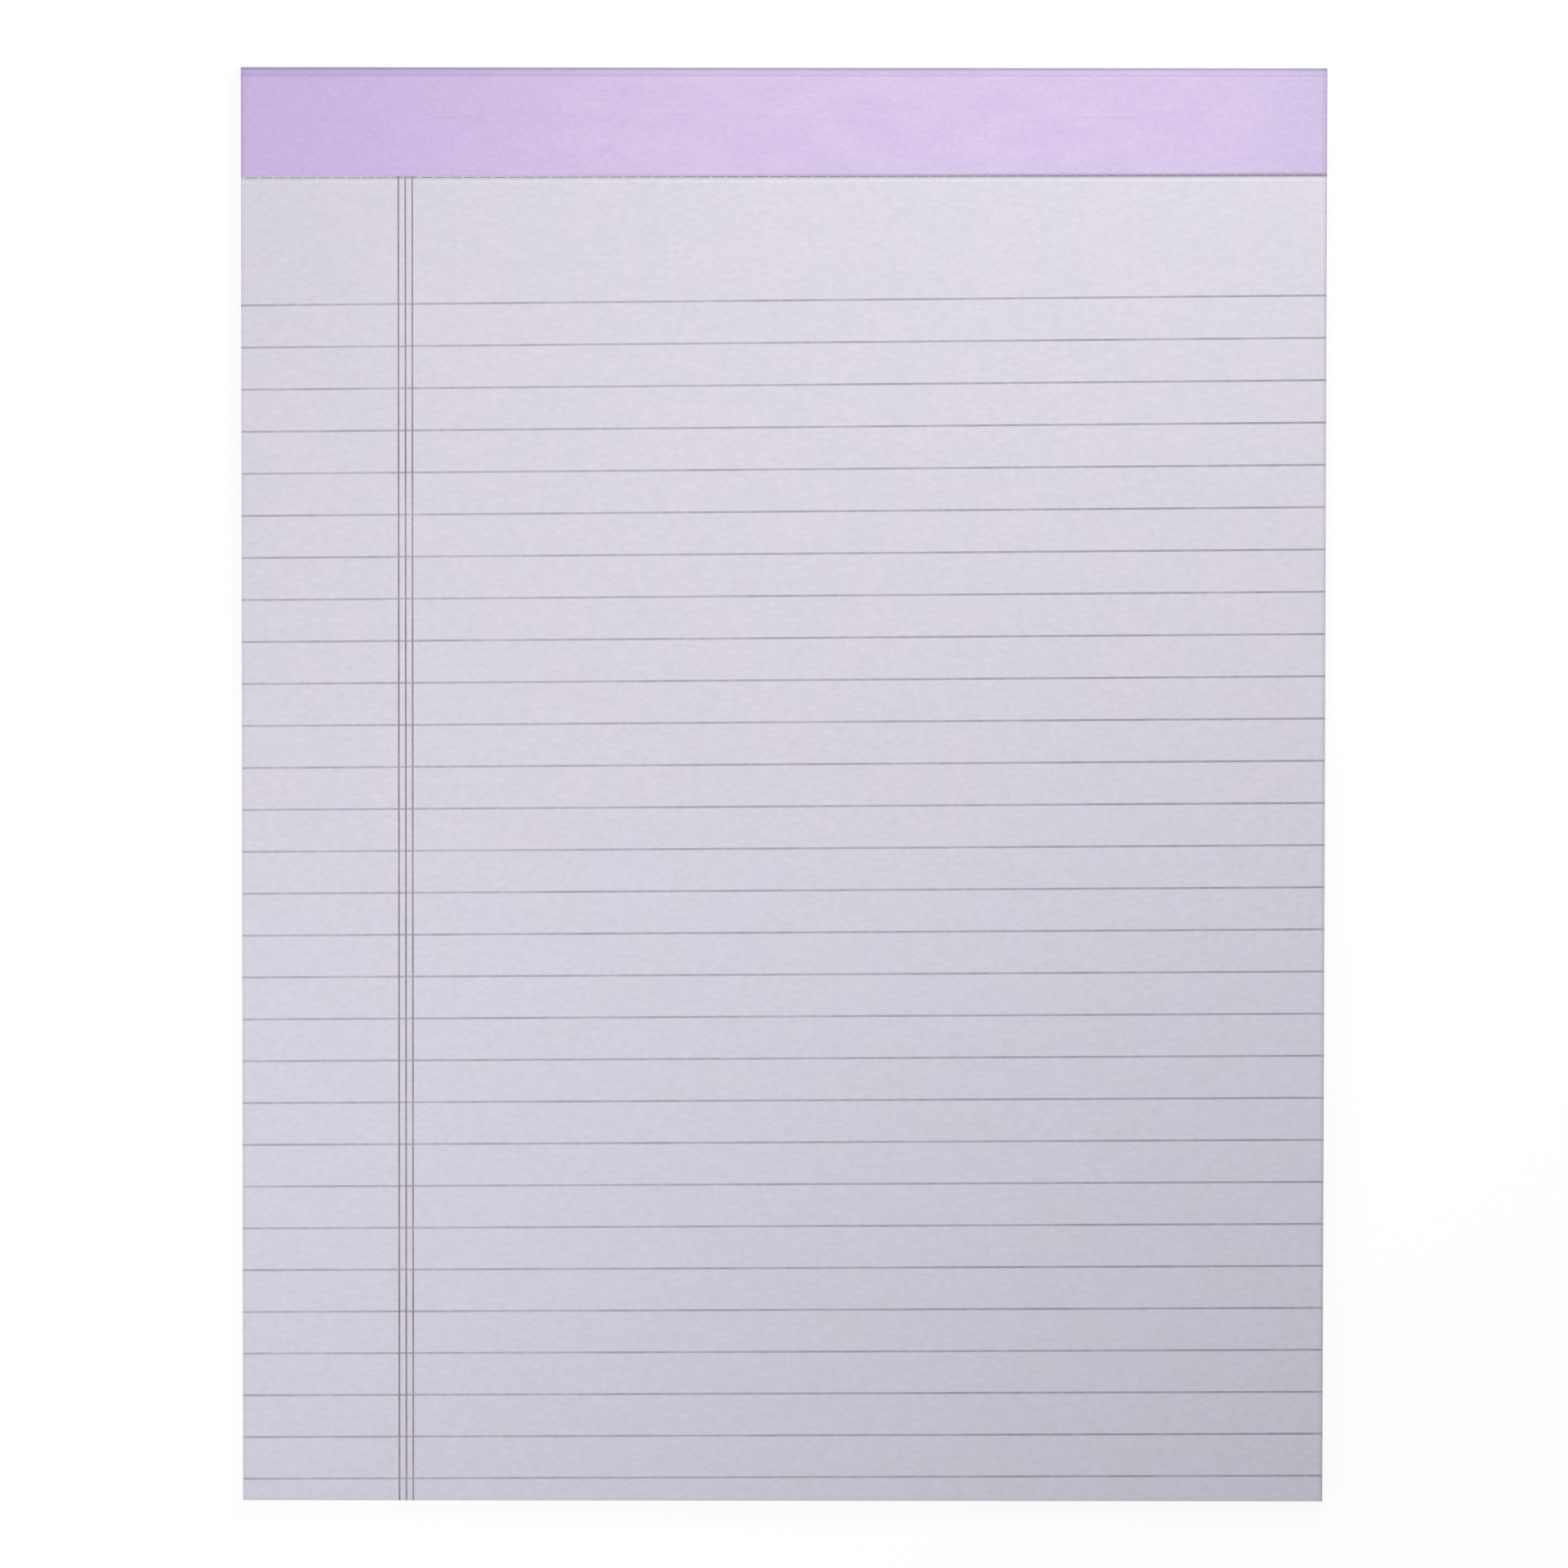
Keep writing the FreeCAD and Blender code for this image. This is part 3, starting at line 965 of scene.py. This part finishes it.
@dataclass
class SheetStack:
    """Fifty thin sheets, each with its own row of slits and its own staple holes."""

    head: HeadShape
    slits: Row
    count: int = 50
    fill: float = 0.95  # a sheet's share of the room that it has
    inset: float = 0.09 * MM  # of the lower sheets from the block that they fill
    shift: float = 0.05 * MM  # how far a sheet may lie off the others
    turn: float = 0.00012  # and how far it may be turned, in radians
    seed: int = 11
    slit_length: float = 2.3 * MM
    slit_tie: float = 0.6 * MM
    slit_width: float = 0.14 * MM
    hole: float = 0.6 * MM  # round a staple's wire
    cut_depth: float = 4.0  # of the cutter, in sheets
    crown_depth: float = 0.6 * MM  # how deep the crowns lie in the top of the stack
    dip_steps: int = 10

    SHADE = "sheet_shade"

    @property
    def pitch(self) -> float:
        """From one sheet to the next."""
        return (Solid.SHEETS.high.z - Solid.SHEETS.low.z) / self.count

    @property
    def thickness(self) -> float:
        """Of one sheet."""
        return self.pitch * self.fill

    def blank(self, name: str, top: float, inset: float) -> Object:
        """One plain sheet, with cross lines where it will dip near the head.

        Args:
            name: The piece's name.
            top: The height of its upper face.
            inset: How much smaller it is than the block, on each side.

        Returns:
            The object.
        """
        head = self.head
        places = [Solid.SHEETS.low.y + inset, *even(head.dip_start, head.dip_end, self.dip_steps)]
        places += [head.dip_end, head.face - head.fold_radius, head.face - self.inset]
        ends = [Side.LEFT.x + inset, Side.RIGHT.x - inset]
        heights = (top, top - self.thickness)
        grids = ([[Vector((x, y, z)) for x in ends] for y in places] for z in heights)
        return shell(name, *grids)

    def punch(self) -> ShapeTree:
        """The tree that cuts a row of equal holes through a sheet.

        Returns:
            The tree.
        """
        vectors = dict.fromkeys(("Hole", "Start", "Place", "Turn"), tuple)
        tree = ShapeTree("punched_row", {"Count": int, "Pitch": float, **vectors})
        graph, given = tree.graph, tree.given
        step = graph.out("ShaderNodeCombineXYZ", {"X": given["Pitch"]})
        feeds = {"Count": given["Count"], "Start Location": given["Start"], "Offset": step}
        spots = graph.out("GeometryNodeMeshLine", feeds)
        cutter = graph.out("GeometryNodeMeshCube", {"Size": given["Hole"]})
        row = graph.out("GeometryNodeInstanceOnPoints", {"Points": spots, "Instance": cutter})
        solid_row = graph.out("GeometryNodeRealizeInstances", {0: row})
        feeds = {"Geometry": solid_row, "Translation": given["Place"], "Rotation": given["Turn"]}
        placed = graph.out("GeometryNodeTransform", feeds)
        feeds = {"Mesh 1": given["Geometry"], "Mesh 2": placed}
        tree.end(graph.out("GeometryNodeMeshBoolean", feeds, operation="DIFFERENCE"))
        return tree

    @staticmethod
    def jitter(graph: Graph, axes: str, reach: Feed, seed: Feed) -> NodeSocket:
        """A random vector for each sheet.

        Args:
            graph: The tree that it is for.
            axes: The axes along which it differs.
            reach: How far it goes either way.
            seed: What its random draw starts from.

        Returns:
            The vector.
        """
        least = graph.math("MULTIPLY", reach, -1.0)
        low = graph.out("ShaderNodeCombineXYZ", dict.fromkeys(axes, least))
        high = graph.out("ShaderNodeCombineXYZ", dict.fromkeys(axes, reach))
        feeds = {0: low, 1: high, "Seed": seed}
        return graph.out("FunctionNodeRandomValue", feeds, data_type="FLOAT_VECTOR")

    def pile(self) -> ShapeTree:
        """The tree that repeats one sheet upwards, each a little off the others.

        Returns:
            The tree.
        """
        lengths = dict.fromkeys(("Pitch", "Shift", "Turn"), float)
        kinds = {"Count": int, **lengths, "Seed": int, "Paper": Material}
        tree = ShapeTree("pile_of_sheets", kinds)
        graph, given = tree.graph, tree.given
        step = graph.out("ShaderNodeCombineXYZ", {"Z": given["Pitch"]})
        spots = graph.out("GeometryNodeMeshLine", {"Count": given["Count"], "Offset": step})
        slide = self.jitter(graph, "XY", given["Shift"], given["Seed"])
        moved = graph.out("GeometryNodeSetPosition", {"Geometry": spots, "Offset": slide})
        turned = self.jitter(graph, "Z", given["Turn"], graph.math("ADD", given["Seed"], 1.0))
        feeds = {"Points": moved, "Instance": given["Geometry"], "Rotation": turned}
        sheets = graph.out("GeometryNodeInstanceOnPoints", feeds)
        feeds = {2: -1.0, 3: 1.0, "Seed": given["Seed"]}
        shade = graph.node("FunctionNodeRandomValue", feeds, data_type="FLOAT").outputs[1]
        feeds = {"Geometry": sheets, "Name": self.SHADE, "Value": shade}
        settings = {"data_type": "FLOAT", "domain": "INSTANCE"}
        marked = graph.out("GeometryNodeStoreNamedAttribute", feeds, **settings)
        solid = graph.out("GeometryNodeRealizeInstances", {0: marked})
        feeds = {"Geometry": solid, "Material": given["Paper"]}
        tree.end(graph.out("GeometryNodeSetMaterial", feeds))
        return tree

    def rows(self, crowns: bool) -> list[HoleRow]:
        """The rows of holes in a sheet.

        Args:
            crowns: Whether the staples' crowns lie in it, and not only their legs.

        Returns:
            The tear-off slits, then the staples' holes.
        """
        pitch = self.slit_length + self.slit_tie
        count = int((Side.RIGHT.x - Side.LEFT.x) / pitch)
        middle = (0.0, self.slits.middle)
        slits = HoleRow(count, pitch, self.slit_length, self.slit_width, middle, self.slits.turn)
        head = self.head
        half = head.staple_crown / 2
        length = head.staple_crown + self.hole if crowns else self.hole
        holes = [
            HoleRow(head.staple_count, head.staple_spacing, length, self.hole, (x, head.staple_row))
            for x in ((0.0,) if crowns else (-half, half))
        ]
        return [slits, *holes]

    def punched(self, sheet: Object, punch: ShapeTree, crowns: bool) -> Object:
        """Cuts the slits and the staple holes into one sheet.

        Args:
            sheet: The plain sheet.
            punch: The tree that cuts a row of holes.
            crowns: Whether the staples' crowns lie in it, and not only their legs.

        Returns:
            The same object, with its holes.
        """
        height = sheet.data.vertices[0].co.z - self.thickness / 2
        for row in self.rows(crowns):
            row.cut(sheet, punch, height, self.cut_depth * self.thickness)
        return baked(sheet)

    def press_head(self, piece: Object) -> None:
        """Presses the sheets together near the head and rounds their ends in the fold.

        Args:
            piece: The sheets, whose mesh is changed.
        """
        floor = Solid.SHEETS.low.z
        full = Solid.SHEETS.high.z - floor
        for vertex in piece.data.vertices:
            place = vertex.co
            place.z = floor + (place.z - floor) * (1 - self.head.sink(place.y) / full)
            place.y = min(place.y, self.head.end_at(place.z))

    def build(self, paper: Material) -> None:
        """Makes the two piles of sheets and the top sheet.

        Args:
            paper: The sheets' finish.
        """
        punch, pile = self.punch(), self.pile()
        crowned = math.ceil(self.crown_depth / self.pitch)
        plain = self.count - 1 - crowned
        bottom_top = Solid.SHEETS.low.z + self.thickness
        groups = (
            ("lower_sheets", bottom_top, plain, False),
            ("upper_sheets", bottom_top + plain * self.pitch, crowned, True),
        )
        for name, top, count, crowns in groups:
            sheet = self.punched(self.blank(name, top, self.inset), punch, crowns)
            pile.add_to(
                sheet,
                Count=count,
                Pitch=self.pitch,
                Shift=self.shift,
                Turn=self.turn,
                Seed=self.seed + count,
                Paper=paper,
            )
            baked(sheet)
            self.press_head(sheet)
            fit(sheet, paper, Slot.PAPER, Solid.SHEETS)
        top_sheet = self.punched(self.blank("top_sheet", Solid.SHEETS.high.z, 0.0), punch, True)
        self.press_head(top_sheet)
        fit(top_sheet, paper, Slot.PAPER, Solid.SHEETS)


@dataclass
class BindingStrip:
    """The paper strip folded over the head, with the staples' crowns showing through."""

    head: HeadShape
    edge: Row
    back_flap: float = 19.0 * MM
    columns: int = 180
    edge_steps: int = 3
    dip_steps: int = 12
    land_steps: int = 36
    fold_steps: int = 8
    spine_steps: int = 8
    flap_steps: int = 6
    crown_reach: float = 0.8 * MM  # half the width of the raised paper
    crown_lift: float = 0.17 * MM
    sharp_angle: float = 40.0  # degrees, from which an edge between faces is sharp

    @property
    def thickness(self) -> float:
        """Of the strip's paper."""
        return Solid.STRIP.high.z - Solid.SHEETS.high.z

    def crown_rise(self, x: float, y: float) -> float:
        """How much a staple's crown raises the strip at that place.

        Args:
            x: Place across the pad.
            y: Place along it.

        Returns:
            The rise.
        """
        across = abs(y - self.head.staple_row) / self.crown_reach
        if across >= 1:
            return 0.0
        nearest = min(abs(x - middle) for middle in self.head.staple_middles)
        past_end = nearest - self.head.staple_crown / 2 + self.crown_reach / 2
        beyond = max(past_end, 0.0) / self.crown_reach
        if beyond >= 1:
            return 0.0
        bells = (1 + math.cos(math.pi * across)) * (1 + math.cos(math.pi * beyond)) / 4
        return self.crown_lift * bells

    def line(self, x: float) -> list[tuple[float, float, float]]:
        """The strip's inner line at one X.

        Args:
            x: Place across the pad.

        Returns:
            Y, Z and heading, in radians, at each station from the front edge to the end
            of the back flap.
        """
        head, top, edge = self.head, Solid.SHEETS.high.z, self.edge.at(x)
        stapled = top - head.press
        radius = head.fold_radius
        fold = head.face - radius
        lower = self.thickness + radius
        angles = even(0.0, math.pi / 2, self.fold_steps)
        stations = [(y, top, 0.0) for y in even(edge, head.dip_start, self.edge_steps)]
        for y in even(head.dip_start, head.dip_end, self.dip_steps):
            stations.append((y, top - head.sink(y), 0.0))
        for y in even(head.dip_end, fold, self.land_steps):
            stations.append((y, stapled, 0.0))
        for angle in angles:
            z = stapled - radius * (1 - math.cos(angle))
            stations.append((fold + radius * math.sin(angle), z, -angle))
        for z in even(stapled - radius, lower, self.spine_steps):
            stations.append((head.face, z, -math.pi / 2))
        for angle in angles:
            z = lower - radius * math.sin(angle)
            stations.append((fold + radius * math.cos(angle), z, -math.pi / 2 - angle))
        flap_end = head.face - self.back_flap
        for y in (*even(fold, flap_end, self.flap_steps), flap_end):
            stations.append((y, self.thickness, -math.pi))
        return stations

    def build(self, material: Material) -> None:
        """Makes the strip.

        Args:
            material: The strip's finish.
        """
        inner, outer = [], []
        for x in (*even(Side.LEFT.x, Side.RIGHT.x, self.columns), Side.RIGHT.x):
            near, far = [], []
            for y, z, heading in self.line(x):
                lift = self.crown_rise(x, y) if heading == 0.0 else 0.0
                near.append(Vector((x, y, z + lift)))
                out = Vector((0, -math.sin(heading), math.cos(heading))) * self.thickness
                far.append(near[-1] + out)
            inner.append(near)
            outer.append(far)
        strip = shell("binding_strip_paper", outer, inner)
        strip.data.shade_smooth()
        strip.data.set_sharp_from_angle(angle=math.radians(self.sharp_angle))
        fit(strip, material, Slot.STRIP, Solid.STRIP)


@dataclass(frozen=True)
class Lamp:
    """A soft square lamp."""

    name: str
    place: Triple
    aim: Triple
    power: float
    size: float

    def light(self) -> None:
        """Puts the lamp in the scene, out of the camera's sight."""
        data = bpy.data.lights.new(self.name, "AREA")
        data.energy = self.power
        data.size = self.size
        lamp = linked(self.name, data)
        lamp.location = self.place
        beam = Vector(self.aim) - Vector(self.place)
        lamp.rotation_euler = beam.to_track_quat("-Z", "Y").to_euler()
        lamp.visible_camera = False


@dataclass(frozen=True)
class Viewpoint:
    """The photograph's viewing angle: almost straight down, from above the head."""

    distance: float = 13.0
    tilt: float = 17.841  # degrees from straight down, towards the head
    yaw: float = 0.033
    roll: float = 0.067
    aim: Triple = (0.121 * MM, 1.457 * MM, 6.0 * MM)
    pixels_per_metre: float = 6180.7  # at the aim
    frame_pixels: int = 1932
    sensor: float = 36.0  # millimetres

    def place(self) -> None:
        """Puts the camera in the scene."""
        tilt, yaw, roll = (math.radians(angle) for angle in (self.tilt, self.yaw, self.roll))
        back = Vector((math.sin(yaw), math.sin(tilt) * math.cos(yaw), math.cos(tilt) * math.cos(yaw)))
        level = Vector((0, math.cos(tilt), -math.sin(tilt))).cross(back).normalized()
        upright = back.cross(level)
        right = level * math.cos(roll) + upright * math.sin(roll)
        up = upright * math.cos(roll) - level * math.sin(roll)
        data = bpy.data.cameras.new("camera")
        data.sensor_width = self.sensor
        data.lens = self.sensor * self.distance * self.pixels_per_metre / self.frame_pixels
        data.clip_end = 4 * self.distance
        camera = linked("camera", data)
        turned = Matrix((right, up, back)).transposed().to_4x4()
        camera.matrix_world = Matrix.Translation(Vector(self.aim) + back * self.distance) @ turned
        bpy.context.scene.camera = camera


@dataclass(frozen=True)
class Studio:
    """A pale floor under soft lamps, with the key lamp behind the head."""

    lamps: tuple[Lamp, ...] = (
        Lamp("key_lamp", place=(0.117, 0.300, 0.421), aim=(0.10, -0.10, 0.0), power=1.673, size=0.25),
        Lamp("fill_lamp", place=(-0.200, -0.120, 0.317), aim=(-0.11, 0.15, 0.0), power=0.611, size=0.30),
    )
    daylight: float = 0.2
    floor_reach: float = 60.0
    floor_gap: float = 0.02 * MM  # under the pad
    floor_colour: Colour = (0.80, 0.80, 0.81)
    floor_glow: float = 0.90  # what the camera sees of the floor whatever falls on it
    floor_share: float = 0.17  # of the floor's own light that the camera sees on top

    def seen_directly(self, graph: Graph) -> NodeSocket:
        """One where the camera, a reflection or glass looks at a surface.

        Args:
            graph: The nodes that ask for it.

        Returns:
            One or nought.
        """
        path = graph.node("ShaderNodeLightPath").outputs
        camera, glossy, glass = (path[f"Is {ray} Ray"] for ray in ("Camera", "Glossy", "Transmission"))
        return graph.math("MAXIMUM", graph.math("MAXIMUM", camera, glossy), glass)

    def world(self) -> None:
        """Even light from all round, which the camera sees as white."""
        world = bpy.data.worlds.new("studio")
        world.use_nodes = True
        bpy.context.scene.world = world
        graph = Graph(world.node_tree)
        feeds = {"Value": self.seen_directly(graph), "To Min": self.daylight, "To Max": 1.0}
        strength = graph.node("ShaderNodeMapRange", feeds).outputs["Result"]
        sky = graph.out("ShaderNodeBackground", {"Color": (*WHITE, 1), "Strength": strength})
        graph.node("ShaderNodeOutputWorld", {"Surface": sky})

    def floor_material(self) -> Material:
        """A pale floor that the camera sees as white, with the pad's shadow.

        Returns:
            The finished material.
        """
        material = bpy.data.materials.new("floor")
        material.use_nodes = True
        graph = Graph(material.node_tree)
        seen = self.seen_directly(graph)
        own = graph.out("ShaderNodeBsdfDiffuse", {"Color": (*self.floor_colour, 1)})
        dim = tuple(value * self.floor_share for value in self.floor_colour)
        faint = graph.out("ShaderNodeBsdfDiffuse", {"Color": (*dim, 1)})
        glow = graph.out("ShaderNodeEmission", {"Color": (*WHITE, 1), "Strength": self.floor_glow})
        shown = graph.out("ShaderNodeAddShader", {0: faint, 1: glow})
        mix = graph.out("ShaderNodeMixShader", {0: seen, 1: own, 2: shown})
        graph.node("ShaderNodeOutputMaterial", {"Surface": mix})
        return material

    def build(self) -> None:
        """Sets up the floor, the lamps, the world and the colour handling."""
        reach = self.floor_reach
        signs = ((-1, -1), (1, -1), (1, 1), (-1, 1))
        outline = [(x * reach, y * reach, -self.floor_gap) for x, y in signs]
        mesh = bpy.data.meshes.new("floor")
        mesh.from_pydata(outline, [], [(0, 1, 2, 3)])
        mesh.materials.append(self.floor_material())
        floor = linked("floor", mesh)
        for lamp in self.lamps:
            lamp.light()
        self.world()
        bpy.context.scene.view_settings.view_transform = "Standard"


def main() -> None:
    """Builds the pad's pieces in order, then the studio."""
    logging.basicConfig(level=logging.INFO, format="%(name)s: %(message)s")
    Viewpoint().place()
    Studio().build()
    head, edge = HeadShape(), strip_edge()
    slits = edge.below(SLIT_DROP)
    SheetStack(head, slits).build(WritingPaper().material(slits))
    BindingStrip(head, edge).build(BindingPaper().material(edge))
    rules = PrintedInk(
        "printed_rules",
        colour=(0.35, 0.345, 0.41),
        thin_colour=(0.57, 0.56, 0.64),
        thin_end=Side.LEFT.x,
        full_end=Side.RIGHT.x,
    )
    dress(Solid.RULES, rules.material())
    margin = PrintedInk(
        "printed_margin",
        colour=(0.27, 0.215, 0.235),
        thin_colour=(0.44, 0.38, 0.40),
        thin_end=Solid.MARGIN.high.x,
        full_end=Solid.MARGIN.low.x,
        thinning=0.2,
    )
    dress(Solid.MARGIN, margin.material())
    dress(Solid.BOARD, Chipboard().material())
    dress(Solid.STAPLES, StapleWire().material())


if __name__ == "__main__":
    main()
